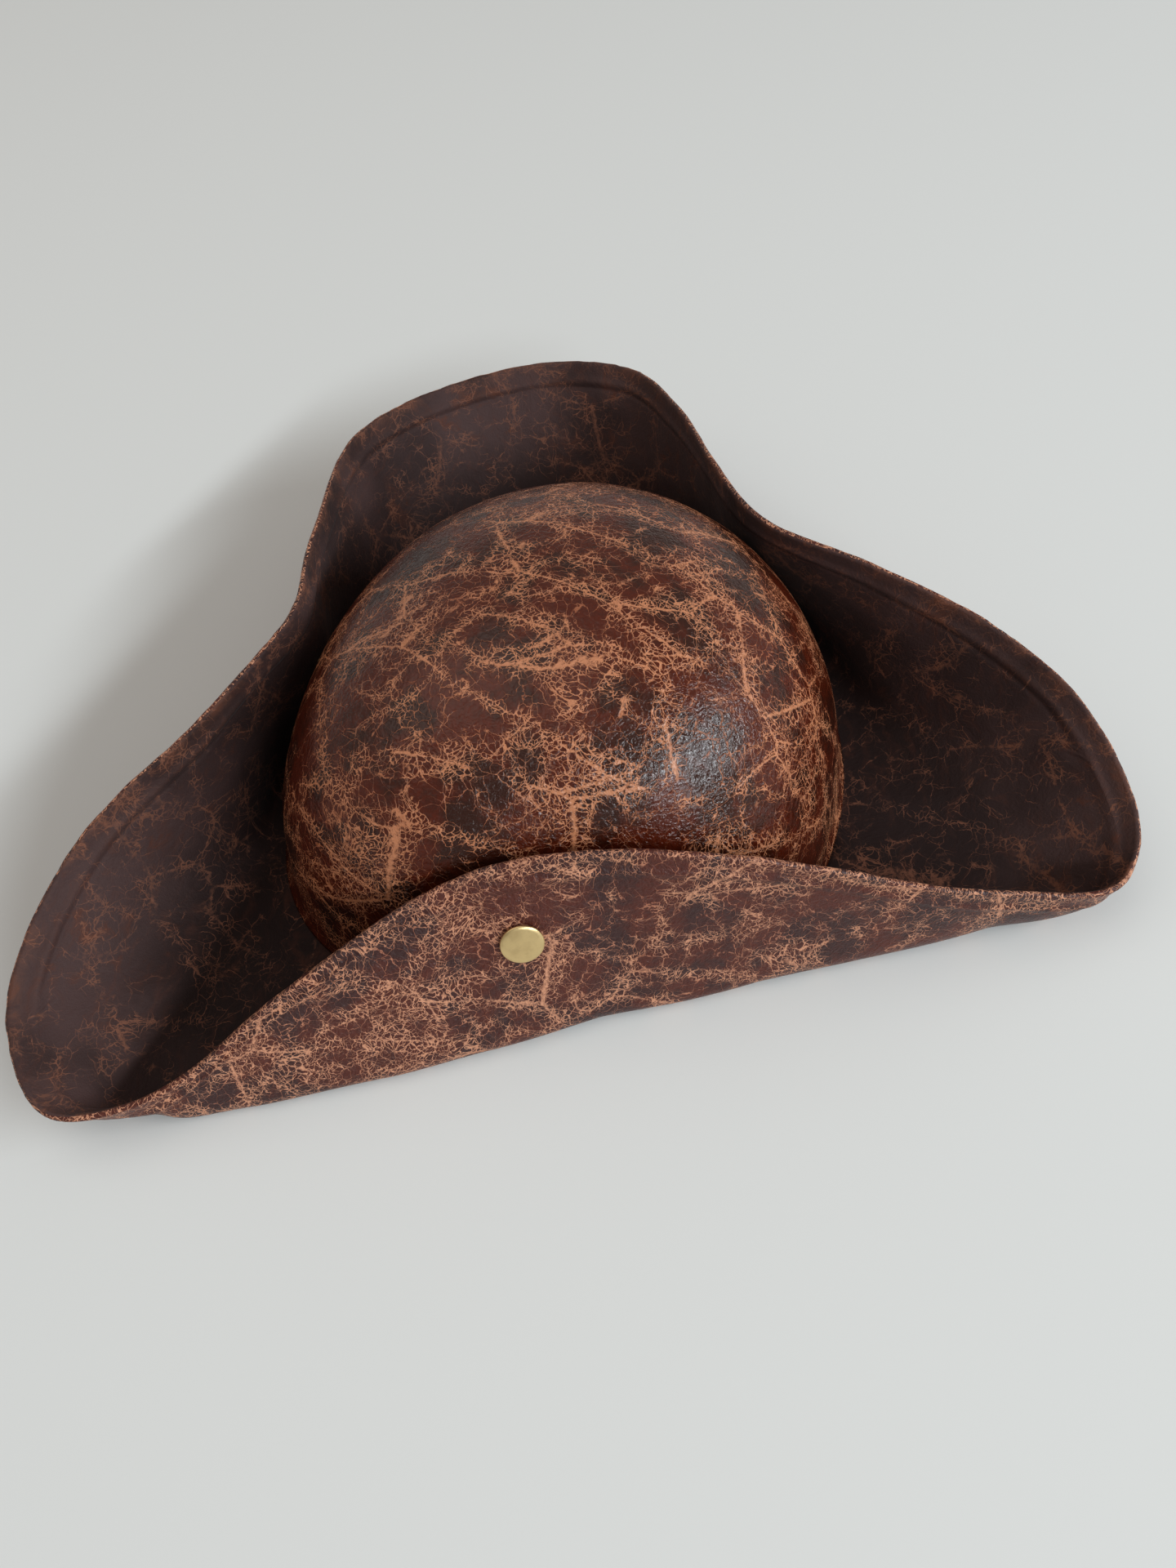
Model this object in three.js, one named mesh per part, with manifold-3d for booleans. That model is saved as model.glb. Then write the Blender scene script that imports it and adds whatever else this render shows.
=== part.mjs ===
// Three-pointed leather hat: a moulded crown, one turned-up brim and three set rivets.
// Millimetres, +Z up. The hat rests on Z = 0 and X runs along the near fold of the brim.
import * as THREE from 'three';
import Module from 'manifold-3d';

const wasm = await Module();
wasm.setup();

const TAU = 2 * Math.PI;
const rad = (d) => (d * Math.PI) / 180;
const degrees = (a) => (a * 180) / Math.PI;
const apart = (a, b) => ((((a - b) % 360) + 540) % 360) - 180;   // difference of two directions, degrees

// ---------------------------------------------------------------- named sizes
const gap = 0.3;                 // room left between neighbouring pieces

const crown = {
  left: 88,                      // axis to the foot, to either side
  right: 91.5,
  near: 84,                      // axis to the foot, towards the near flap
  far: 108,                      // axis to the foot, towards the far point
  turn: 67,                      // direction of its long axis, degrees
  nearRound: 2.6,                // plan exponents: 2 is an ellipse, more is squarer
  farRound: 2.05,
  flat: 13,                    // how far the near flap flattens that side
  flatTowards: 278,
  flatWidth: 45,
  fullness: 2.2,                 // profile exponent: 2 is a half ellipse
  top: 90,
  wall: 1.8,
  flare: 3.0,                    // outward sweep of the foot
  flareHeight: 4.5,
};

const brim = {
  width: 90,                     // crown's foot to the left point
  flap: 60,                      // height of the near and left flaps
  thick: 2.2,
  ridge: 0.55,                   // swell of the edge cord under each face
  ridgeInset: 6.2,               // edge to the middle of the cord
  ridgeWidth: 1.5,
  crisp: 9,                      // length of leather in a sharp fold, each side of it
  gentle: 44,                    // the same at a point
  leaning: -10,                  // overhang past the fold at which a fold is sharpest
  spreading: 36,                 // reach past the fold at which it is gentlest
};

const dent = { depth: 3.0, height: 16, width: 30 };  // a flap's edge dents the crown; width in degrees
const pull = { spread: 18, foot: 8 };                // how a rivet draws a flap in: its spread past the cap, and the height it starts over

const rivet = {
  cap: 6.25, dome: 0.5, cheek: 1.0, lip: 0.35,       // cap radius, its swell, its thickness, its rounded edge
  seat: 0.5, shank: 1.6, head: 3.6, headThick: 0.9, headEdge: 0.5,
};

// The rim of the brim, counter-clockwise. towards: degrees round the crown; reach: how far it
// lies out from the crown's foot, over brim.width; rise: its height over brim.flap;
// fold: how far out the corner lies that the flap turns up from, over brim.width.
const rim = [
  { towards: 267, reach: -0.126, rise: 1.00, fold: 0.124 },    // top of the near flap
  { towards: 285, reach: -0.114, rise: 0.97, fold: 0.096 },
  { towards: 300, reach: -0.029, rise: 0.87, fold: 0.157 },
  { towards: 310, reach: 0.139, rise: 0.73, fold: 0.279 },
  { towards: 323, reach: 0.579, rise: 0.42, fold: 0.599 },
  { towards: 330.5, reach: 0.956, rise: 0.30, fold: 0.866 },   // right point
  { towards: 335, reach: 0.982, rise: 0.37, fold: 0.712 },
  { towards: 347, reach: 0.791, rise: 0.63, fold: 0.391 },
  { towards: 358, reach: 0.507, rise: 0.80, fold: 0.217 },
  { towards: 10, reach: 0.173, rise: 0.95, fold: 0.157 },
  { towards: 30, reach: -0.105, rise: 1.03, fold: 0.148 },     // top of the right flap
  { towards: 49, reach: 0.046, rise: 0.97, fold: 0.176 },
  { towards: 60, reach: 0.372, rise: 0.87, fold: 0.202 },
  { towards: 68, reach: 0.650, rise: 0.78, fold: 0.280 },
  { towards: 78, reach: 0.738, rise: 0.75, fold: 0.308 },      // far point
  { towards: 95, reach: 0.673, rise: 0.78, fold: 0.303 },
  { towards: 107, reach: 0.559, rise: 0.84, fold: 0.279 },
  { towards: 128, reach: 0.139, rise: 0.97, fold: 0.126 },
  { towards: 149, reach: 0.010, rise: 1.00, fold: 0.128 },     // top of the left flap
  { towards: 170, reach: 0.128, rise: 0.95, fold: 0.126 },
  { towards: 186, reach: 0.644, rise: 0.67, fold: 0.234 },
  { towards: 198, reach: 0.959, rise: 0.42, fold: 0.489 },
  { towards: 207, reach: 1.006, rise: 0.28, fold: 0.796 },     // left point
  { towards: 211.5, reach: 0.800, rise: 0.26, fold: 0.794 },
  { towards: 218, reach: 0.327, rise: 0.58, fold: 0.627 },
  { towards: 231, reach: -0.020, rise: 0.87, fold: 0.374 },
  { towards: 245, reach: -0.099, rise: 0.97, fold: 0.241 },
];

// The three flaps. faces: its middle, degrees; press: share of the dent its edge makes in the
// crown; rivetAt: direction of its rivet; rivetUp: the rivet's height over brim.flap;
// drawn: share of the room to the crown that the rivet takes up.
const flaps = [
  { flap: 'near', faces: 272, press: 1, rivetAt: 251, rivetUp: 0.617, drawn: 0 },
  { flap: 'right', faces: 30, press: 0, rivetAt: 36, rivetUp: 0.567, drawn: 0.8 },
  { flap: 'left', faces: 149, press: 0, rivetAt: 146, rivetUp: 0.567, drawn: 0.8 },
];
const dentUp = 0.933 * brim.flap;

// ---------------------------------------------------------------- shape functions
// Foot of the crown: distance from its axis in one direction.
function footRadius(a) {
  const along = Math.cos(a - rad(crown.turn));
  const across = Math.sin(a - rad(crown.turn));
  const half = along > 0 ? crown.far : crown.near;
  const side = across > 0 ? crown.left : crown.right;
  const p = along > 0 ? crown.farRound : crown.nearRound;
  const oval = (Math.abs(along / half) ** p + Math.abs(across / side) ** p) ** (-1 / p);
  return oval - crown.flat * flattened(a);
}

// Share of the near flap's flattening in one direction, and the flare left beside it.
const flattened = (a) => Math.exp(-((apart(degrees(a), crown.flatTowards) / crown.flatWidth) ** 2));
const flare = (a) => crown.flare * (1 - 0.75 * flattened(a));

// Outer face of the crown; t runs from the foot (0) to the top (1).
const footZ = brim.thick + gap;
function crownPoint(a, t, inset = 0) {
  const lift = (t * Math.PI) / 2;
  const q = Math.max(Math.cos(lift), 0) ** (2 / crown.fullness);
  const s = Math.sin(lift) ** (2 / crown.fullness);
  const z = footZ + (crown.top - footZ - inset) * s;
  let r = (footRadius(a) - inset) * q;
  if (inset === 0) r += flare(a) * Math.exp(-(z - footZ) / crown.flareHeight);
  for (const flap of flaps) {
    const side = Math.exp(-((apart(degrees(a), flap.faces) / dent.width) ** 2));
    r -= dent.depth * flap.press * side * Math.exp(-(((z - dentUp) / dent.height) ** 2));
  }
  return new THREE.Vector3(r * Math.cos(a), r * Math.sin(a), z);
}

// Closed smooth curve through rows of numbers, with parabolic tangents on chord-length knots.
// The first three numbers of a row are a place; the knots are spaced by those.
function closedCurve(rows) {
  const n = rows.length;
  const wrap = (i) => (i + n) % n;
  const chord = (i) => Math.hypot(...[0, 1, 2].map((k) => rows[wrap(i + 1)][k] - rows[wrap(i)][k])) ** 0.75;
  const knot = [0];
  for (let i = 0; i < n; i++) knot.push(knot[i] + chord(i));
  const tangent = rows.map((row, i) => {
    const before = chord(wrap(i - 1)), after = chord(i);
    return row.map((v, k) => (((v - rows[wrap(i - 1)][k]) / before) * after + ((rows[wrap(i + 1)][k] - v) / after) * before) / (before + after));
  });
  return (u) => {
    const at = (((u % 1) + 1) % 1) * knot[n];
    let i = 0;
    while (i < n - 1 && knot[i + 1] <= at) i++;
    const h = knot[i + 1] - knot[i], x = (at - knot[i]) / h, j = wrap(i + 1);
    return rows[i].map((v, k) => v * (1 + 2 * x) * (1 - x) ** 2 + tangent[i][k] * h * x * (1 - x) ** 2
      + rows[j][k] * x * x * (3 - 2 * x) + tangent[j][k] * h * x * x * (x - 1));
  };
}

const rimCurve = closedCurve(rim.map((row) => {
  const foot = footRadius(rad(row.towards)), reach = foot + brim.width * row.reach;
  return [reach * Math.cos(rad(row.towards)), reach * Math.sin(rad(row.towards)), brim.flap * row.rise, foot + brim.width * row.fold];
}));

// Place on the rim in one direction, as the curve's parameter.
function rimAt(direction) {
  let u = 0, best = 360;
  for (let k = 0; k < 2000; k++) {
    const [x, y] = rimCurve(k / 2000);
    const miss = Math.abs(apart(degrees(Math.atan2(y, x)), direction));
    if (miss < best) { best = miss; u = k / 2000; }
  }
  return u;
}

// Radius at which a section's line passes one height.
function radiusAt(line, up) {
  let k = line.length - 1;
  while (line[k - 1][1] > up) k--;
  return line[k - 1][0] + ((up - line[k - 1][1]) / (line[k][1] - line[k - 1][1])) * (line[k][0] - line[k - 1][0]);
}

// Distance of the crown's outer or inner face from its axis, in one direction and at one height.
function crownRadius(a, z, inset) {
  let low = 0, high = 1;
  for (let k = 0; k < 30; k++) {
    const t = (low + high) / 2;
    if (crownPoint(a, t, inset).z < z) low = t;
    else high = t;
  }
  const wall = crownPoint(a, low, inset);
  return Math.hypot(wall.x, wall.y);
}

// How far each rivet draws its flap in: its share of the room between the flap and the crown.
let draws = [];
draws = flaps.map((flap) => {
  const up = flap.rivetUp * brim.flap;
  const room = radiusAt(section(rimAt(flap.rivetAt)).line, up) - brim.thick / 2 - crownRadius(rad(flap.rivetAt), up, 0) - 2 * gap;
  return { at: flap.rivetAt, up, depth: flap.drawn * room };
});

// One section of the brim's middle surface: flat strip, fold, then the turned-up flap.
function section(u) {
  const [x, y, top, corner] = rimCurve(u);
  const a = Math.atan2(y, x);
  const reach = Math.hypot(x, y);
  const mid = brim.thick / 2;
  const start = footRadius(a) - crown.wall;
  const open = THREE.MathUtils.smoothstep(reach - corner, brim.leaning, brim.spreading);  // 0 at a flap, 1 at a point
  const rise = top - mid;
  const flapLength = Math.hypot(reach - corner, rise);
  const room = corner - footRadius(a) - flare(a) - 6 * gap;
  const bend = Math.min(THREE.MathUtils.lerp(brim.crisp, brim.gentle, open), room, 0.85 * flapLength);
  const wallR = (reach - corner) / flapLength, wallZ = rise / flapLength;
  const from = [corner - bend, mid], to = [corner + bend * wallR, mid + bend * wallZ];
  const line = [];
  for (let k = 0; k < 12; k++) line.push([start + ((from[0] - start) * k) / 12, mid]);
  for (let k = 0; k <= 40; k++) {
    const t = k / 40;
    line.push([
      (1 - t) ** 2 * from[0] + 2 * t * (1 - t) * corner + t * t * to[0],
      (1 - t) ** 2 * from[1] + 2 * t * (1 - t) * mid + t * t * to[1]]);
  }
  for (let k = 1; k <= 30; k++) line.push([to[0] + ((reach - to[0]) * k) / 30, to[1] + ((top - to[1]) * k) / 30]);
  for (const point of line) {
    for (const draw of draws) {
      const aside = point[0] * rad(apart(degrees(a), draw.at));
      const far = Math.max(Math.hypot(aside, point[1] - draw.up) - rivet.cap, 0) / pull.spread;   // flat under the cap
      if (point[1] > mid + 1e-6) point[0] -= draw.depth * Math.exp(-far * far) * Math.min((point[1] - mid) / pull.foot, 1);
    }
  }
  return { a, line, flat: from[0] - start };
}

// Samples of a section: both ends of the flat strip, then spread by length and bend up to
// the hem, then at insets that are shares of the cord's.
const hem = [1.55, 1.29, 1, 0.71, 0.45, 0.18].map((share) => share * brim.ridgeInset);
const inner = 9;
function sampled(line, flat) {
  const length = [0], effort = [0];
  for (let k = 1; k < line.length; k++) {
    const dr = line[k][0] - line[k - 1][0], dz = line[k][1] - line[k - 1][1];
    const ds = Math.hypot(dr, dz);
    let turn = 0;
    if (k > 1) {
      const er = line[k - 1][0] - line[k - 2][0], ez = line[k - 1][1] - line[k - 2][1];
      turn = Math.abs(Math.atan2(er * dz - ez * dr, er * dr + ez * dz));
    }
    length.push(length[k - 1] + ds);
    effort.push(effort[k - 1] + ds + brim.gentle * turn / 2);
  }
  const total = length[length.length - 1];
  const pick = (scale, value) => {
    let k = 1;
    while (k < scale.length - 1 && scale[k] < value) k++;
    const x = (value - scale[k - 1]) / (scale[k] - scale[k - 1]);
    return length[k - 1] + x * (length[k] - length[k - 1]);
  };
  const effortAt = (s) => {
    let k = 1;
    while (length[k] < s) k++;
    return effort[k - 1] + ((effort[k] - effort[k - 1]) * (s - length[k - 1])) / (length[k] - length[k - 1]);
  };
  const first = effortAt(flat), last = effortAt(total - 2 * brim.ridgeInset);
  const at = [0];
  for (let j = 0; j < inner; j++) at.push(pick(effort, first + ((last - first) * j) / (inner - 1)));
  hem.forEach((inset) => at.push(total - inset));
  return at.map((s) => {
    let m = 1;
    while (m < length.length - 1 && length[m] < s) m++;
    const x = (s - length[m - 1]) / (length[m] - length[m - 1]);
    return [line[m - 1][0] + x * (line[m][0] - line[m - 1][0]), line[m - 1][1] + x * (line[m][1] - line[m - 1][1]), total - s];
  });
}

// Middle surface at grid column u and section sample j, as a point.
const columnCache = new Map();
function column(u) {
  if (!columnCache.has(u)) {
    const { a, line, flat } = section(u);
    columnCache.set(u, sampled(line, flat).map(([r, z, inset]) => ({ p: new THREE.Vector3(r * Math.cos(a), r * Math.sin(a), z), inset })));
  }
  return columnCache.get(u);
}

// ---------------------------------------------------------------- solids
function meshFrom(vertices, triangles, name, colour) {
  const geometry = new THREE.BufferGeometry();
  geometry.setAttribute('position', new THREE.Float32BufferAttribute(vertices.flatMap((v) => [v.x, v.y, v.z]), 3));
  geometry.setIndex(triangles.flat());
  geometry.computeVertexNormals();
  const mesh = new THREE.Mesh(geometry, new THREE.MeshStandardMaterial({ color: colour, roughness: 0.7 }));
  mesh.name = name;
  return mesh;
}

function toManifold(vertices, triangles) {
  return new wasm.Manifold(new wasm.Mesh({
    numProp: 3,
    vertProperties: new Float32Array(vertices.flatMap((v) => [v.x, v.y, v.z])),
    triVerts: new Uint32Array(triangles.flat()),
  }));
}

function fromManifold(solid, name, colour) {
  const mesh = solid.getMesh();
  const vertices = [];
  for (let i = 0; i < mesh.vertProperties.length; i += mesh.numProp) {
    vertices.push(new THREE.Vector3(mesh.vertProperties[i], mesh.vertProperties[i + 1], mesh.vertProperties[i + 2]));
  }
  const triangles = [];
  for (let i = 0; i < mesh.triVerts.length; i += 3) triangles.push([mesh.triVerts[i], mesh.triVerts[i + 1], mesh.triVerts[i + 2]]);
  return meshFrom(vertices, triangles, name, colour);
}

// Brim: the middle surface thickened both ways, swollen over the edge cord, round at the edge.
function brimSolid(columns = 88) {
  const rows = inner + 1 + hem.length;
  const ring = 2 * rows + 3;
  const vertices = [];
  for (let i = 0; i < columns; i++) {
    const u = i / columns, e = 0.0015;
    const here = column(u), before = column(u - e), after = column(u + e);
    const normals = here.map((c, j) => {
      const along = here[Math.min(j + 1, rows - 1)].p.clone().sub(here[Math.max(j - 1, 0)].p);
      const round = after[j].p.clone().sub(before[j].p);
      return round.cross(along).normalize().negate();     // towards the upper, inner face
    });
    here.forEach((c, j) => { if (Math.abs(c.p.z - brim.thick / 2) < 1e-6) normals[j].set(0, 0, 1); });
    const half = here.map((c) => brim.thick / 2 + brim.ridge * Math.exp(-(((c.inset - brim.ridgeInset) / brim.ridgeWidth) ** 2)));
    for (let j = 0; j < rows; j++) vertices.push(here[j].p.clone().addScaledVector(normals[j], -half[j]));
    const end = here[rows - 1].p, n = normals[rows - 1], h = brim.thick / 2;
    const out = end.clone().sub(here[rows - 2].p).normalize();
    for (const turn of [-45, 0, 45]) {
      vertices.push(end.clone().addScaledVector(out, h * Math.cos(rad(turn))).addScaledVector(n, h * Math.sin(rad(turn))));
    }
    for (let j = rows - 1; j >= 0; j--) vertices.push(here[j].p.clone().addScaledVector(normals[j], half[j]));
  }
  const triangles = [];
  for (let i = 0; i < columns; i++) {
    for (let j = 0; j < ring; j++) {
      const a = i * ring + j, b = i * ring + ((j + 1) % ring);
      const c = ((i + 1) % columns) * ring + ((j + 1) % ring), d = ((i + 1) % columns) * ring + j;
      triangles.push([a, c, b], [a, d, c]);
    }
  }
  return toManifold(vertices, triangles);
}

// Crown: an open moulded shell.
function crownSolid(columns = 64, outerRows = 15, innerRows = 10) {
  const vertices = [], rings = [];
  const addRing = (t, inset) => {
    rings.push(vertices.length);
    for (let i = 0; i < columns; i++) vertices.push(crownPoint((TAU * i) / columns, t, inset));
  };
  const lower = [0, 0.012, 0.03, 0.06];
  for (let k = 0; k < outerRows; k++) addRing(k < lower.length ? lower[k] : 0.06 + (0.9 * (k - lower.length + 1)) / (outerRows - lower.length), 0);
  const apexOut = vertices.push(new THREE.Vector3(0, 0, crown.top)) - 1;
  const outerCount = rings.length;
  for (let k = innerRows - 1; k >= 0; k--) addRing((0.96 * k) / (innerRows - 1), crown.wall);
  const apexIn = vertices.push(new THREE.Vector3(0, 0, crown.top - crown.wall)) - 1;
  const triangles = [];
  const band = (lowerStart, upperStart) => {
    for (let i = 0; i < columns; i++) {
      const j = (i + 1) % columns;
      triangles.push([lowerStart + i, lowerStart + j, upperStart + j], [lowerStart + i, upperStart + j, upperStart + i]);
    }
  };
  for (let k = 0; k + 1 < outerCount; k++) band(rings[k], rings[k + 1]);
  for (let k = outerCount; k + 1 < rings.length; k++) band(rings[k], rings[k + 1]);
  band(rings[rings.length - 1], rings[0]);
  for (let i = 0; i < columns; i++) {
    const j = (i + 1) % columns;
    triangles.push([rings[outerCount - 1] + i, rings[outerCount - 1] + j, apexOut]);
    triangles.push([rings[outerCount] + j, rings[outerCount] + i, apexIn]);
  }
  return toManifold(vertices, triangles);
}

// A turned body about +Z, from its half profile [radius, z] listed from the bottom axis point up.
function turned(profile, sides) {
  const vertices = [], triangles = [], rings = [];
  for (const [r, z] of profile) {
    rings.push(vertices.length);
    if (r === 0) vertices.push(new THREE.Vector3(0, 0, z));
    else for (let i = 0; i < sides; i++) vertices.push(new THREE.Vector3(r * Math.cos((TAU * i) / sides), r * Math.sin((TAU * i) / sides), z));
  }
  for (let k = 0; k + 1 < profile.length; k++) {
    for (let i = 0; i < sides; i++) {
      const j = (i + 1) % sides, lowPole = profile[k][0] === 0, highPole = profile[k + 1][0] === 0;
      if (lowPole) triangles.push([rings[k], rings[k + 1] + j, rings[k + 1] + i]);
      else if (highPole) triangles.push([rings[k] + i, rings[k] + j, rings[k + 1]]);
      else triangles.push([rings[k] + i, rings[k] + j, rings[k + 1] + j], [rings[k] + i, rings[k + 1] + j, rings[k + 1] + i]);
    }
  }
  return { vertices, triangles };
}

const placed = (body, frame) => toManifold(body.vertices.map((v) => v.clone().applyMatrix4(frame)), body.triangles);

// Where a rivet crosses the flap: a frame with +Z out of the flap, and the room to the crown.
function rivetSeat(flap) {
  const u = rimAt(flap.rivetAt), height = flap.rivetUp * brim.flap;
  const at = (v, up) => {
    const { a, line } = section(v), r = radiusAt(line, up);
    return new THREE.Vector3(r * Math.cos(a), r * Math.sin(a), up);
  };
  const centre = at(u, height);
  const round = at(u + 0.003, height).sub(at(u - 0.003, height));
  const up = at(u, height + rivet.shank).sub(at(u, height - rivet.shank));
  const out = round.cross(up).normalize();
  const side = new THREE.Vector3(0, 0, 1).cross(out).normalize();
  const frame = new THREE.Matrix4().makeBasis(side, out.clone().cross(side), out).setPosition(centre);
  let depth = 0;
  const headInside = () => {
    for (let k = 0; k <= 12; k++) {
      const r = k === 12 ? 0 : rivet.head + gap;
      const p = new THREE.Vector3(r * Math.cos((k * TAU) / 12), r * Math.sin((k * TAU) / 12), -depth).applyMatrix4(frame);
      if (Math.hypot(p.x, p.y) > crownRadius(Math.atan2(p.y, p.x), p.z, crown.wall) - 2 * gap) return false;
    }
    return true;
  };
  while (depth < brim.width && !headInside()) depth += gap / 3;
  // The cap stands on the flap's outer face at the highest place under it.
  const back = frame.clone().invert(), pace = 0.003 * (2 * rivet.cap) / at(u + 0.0015, height).distanceTo(at(u - 0.0015, height));
  let stand = 0;
  for (let i = -8; i <= 8; i++) {
    for (let j = -8; j <= 8; j++) {
      const p = at(u + (pace * i) / 8, height + (2 * rivet.cap * j) / 8).applyMatrix4(back);
      if (Math.hypot(p.x, p.y) < rivet.cap + 2 * gap) stand = Math.max(stand, p.z);
    }
  }
  return { frame, depth, stand };
}

const seats = flaps.map((flap) => ({ name: `rivet_${flap.flap}`, ...rivetSeat(flap) }));

// Rivet: one piece, from the domed cap outside the flap to the set head inside the crown.
function rivetBody({ depth, stand }) {
  const face = brim.thick / 2 + gap + rivet.seat + stand, back = -depth;
  const { cap, dome, cheek, lip, shank, head, headThick, headEdge } = rivet;
  return turned([
    [0, back - headThick], [head - headEdge, back - headThick], [head, back - headThick / 2], [head, back],
    [shank, back], [shank, face], [cap - lip, face], [cap, face + lip], [cap, face + cheek - lip], [cap - lip, face + cheek],
    [0.8 * cap, face + cheek + 0.1 * dome], [cap / 2, face + cheek + 0.7 * dome], [0, face + cheek + dome],
  ], 22);
}

// Hole through the flap and the crown's wall, round the rivet's shank.
function rivetHole({ depth }) {
  const reach = rivet.shank + 1.1 * gap, past = 2 * brim.thick;
  return turned([[0, -(depth + past)], [reach, -(depth + past)], [reach, past], [0, past]], 24);
}

let brimBody = brimSolid();
let crownBody = crownSolid();
for (const seat of seats) {
  const hole = placed(rivetHole(seat), seat.frame);
  brimBody = brimBody.subtract(hole);
  crownBody = crownBody.subtract(hole);
}

const hat = new THREE.Group();
hat.name = 'tricorn_hat';
hat.add(fromManifold(crownBody, 'crown', 0x5a3a2c));
hat.add(fromManifold(brimBody, 'brim', 0x4a322a));
for (const seat of seats) hat.add(fromManifold(placed(rivetBody(seat), seat.frame), seat.name, 0xb39b5e));

// The origin is the bottom centre of the whole hat.
const bounds = new THREE.Box3().setFromObject(hat);
const middle = bounds.getCenter(new THREE.Vector3());
hat.children.forEach((mesh) => mesh.geometry.translate(-middle.x, -middle.y, -bounds.min.z));

export default hat;
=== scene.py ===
"""Looks of the three-pointed leather hat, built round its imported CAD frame.

The crown, the brim and the rivets are worked out again here from the same named sizes as
the part, on a much finer grid, with the leather's soft dents, edge cord and grain.
"""

from __future__ import annotations

import logging
import math
from dataclasses import dataclass, field
from enum import Enum
from typing import Any, Sequence

import bpy
import numpy as np
from mathutils import Matrix, Vector

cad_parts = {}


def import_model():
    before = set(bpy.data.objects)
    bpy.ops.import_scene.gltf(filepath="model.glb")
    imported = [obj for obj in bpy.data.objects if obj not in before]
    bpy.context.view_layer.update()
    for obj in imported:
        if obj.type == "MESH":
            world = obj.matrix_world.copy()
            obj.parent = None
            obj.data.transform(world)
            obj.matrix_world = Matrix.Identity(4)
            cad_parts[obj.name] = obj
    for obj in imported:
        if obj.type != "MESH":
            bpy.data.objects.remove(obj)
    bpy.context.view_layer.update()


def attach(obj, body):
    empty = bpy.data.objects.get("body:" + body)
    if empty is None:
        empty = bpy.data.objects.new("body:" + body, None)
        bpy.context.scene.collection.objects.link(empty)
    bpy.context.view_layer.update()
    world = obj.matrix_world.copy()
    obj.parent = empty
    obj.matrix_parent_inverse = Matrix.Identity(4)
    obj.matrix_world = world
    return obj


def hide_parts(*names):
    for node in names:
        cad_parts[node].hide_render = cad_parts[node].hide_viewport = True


LOG = logging.getLogger("tricorn")
MM = 0.001

Colour = tuple[float, float, float]


# --- small numbers
def degrees_apart(a: np.ndarray, b: float) -> np.ndarray:
    """Return the difference of directions a and b, both in degrees, as -180..180."""
    return (a - b + 540.0) % 360.0 - 180.0


def smooth_step(value: np.ndarray, low: float, high: float) -> np.ndarray:
    """Return 0 below low, 1 above high and a smooth cubic between them."""
    t = np.clip((value - low) / (high - low), 0.0, 1.0)
    return t * t * (3.0 - 2.0 * t)


def bell(value: np.ndarray, width: float) -> np.ndarray:
    """Return exp(-(value / width) ** 2): 1 at 0 and almost nothing past twice the width."""
    return np.exp(-(value / width) ** 2)


class SoftNoise:
    """Smooth random values through space, the same on every run."""

    def __init__(self, seed: int) -> None:
        """Fill a lattice of 32 by 32 by 32 random values from a seed."""
        self.lattice = np.random.default_rng(seed).uniform(-1.0, 1.0, (32, 32, 32))

    def at(self, points: np.ndarray, size: float) -> np.ndarray:
        """Blend the eight lattice values round each point with smooth weights.

        Args:
            points: Array of places, last axis x, y, z.
            size: Distance between lattice values, in the points' unit.

        Returns:
            One value in -1..1 for each point.
        """
        scaled = points / size
        cell = np.floor(scaled).astype(int)
        part = scaled - cell
        part = part * part * (3.0 - 2.0 * part)
        total = np.zeros(points.shape[:-1])
        for corner in range(8):
            step = np.array([corner & 1, (corner >> 1) & 1, (corner >> 2) & 1])
            index = (cell + step) % 32
            weight = np.prod(np.where(step == 1, part, 1.0 - part), axis=-1)
            total += weight * self.lattice[index[..., 0], index[..., 1], index[..., 2]]
        return total


# --- named sizes, mm
@dataclass(frozen=True)
class RimRow:
    """One place on the brim's rim, and the fold below it."""

    towards: float
    reach: float
    rise: float
    fold: float


@dataclass(frozen=True)
class Flap:
    """One turned-up flap: where it faces, how it presses the crown, and its rivet.

    press is a share of the dent, rivet_up a share of the flap's height, and drawn a share of
    the room to the crown that the rivet takes up.
    """

    name: str
    faces: float
    press: float
    rivet_at: float
    rivet_up: float
    drawn: float


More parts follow.
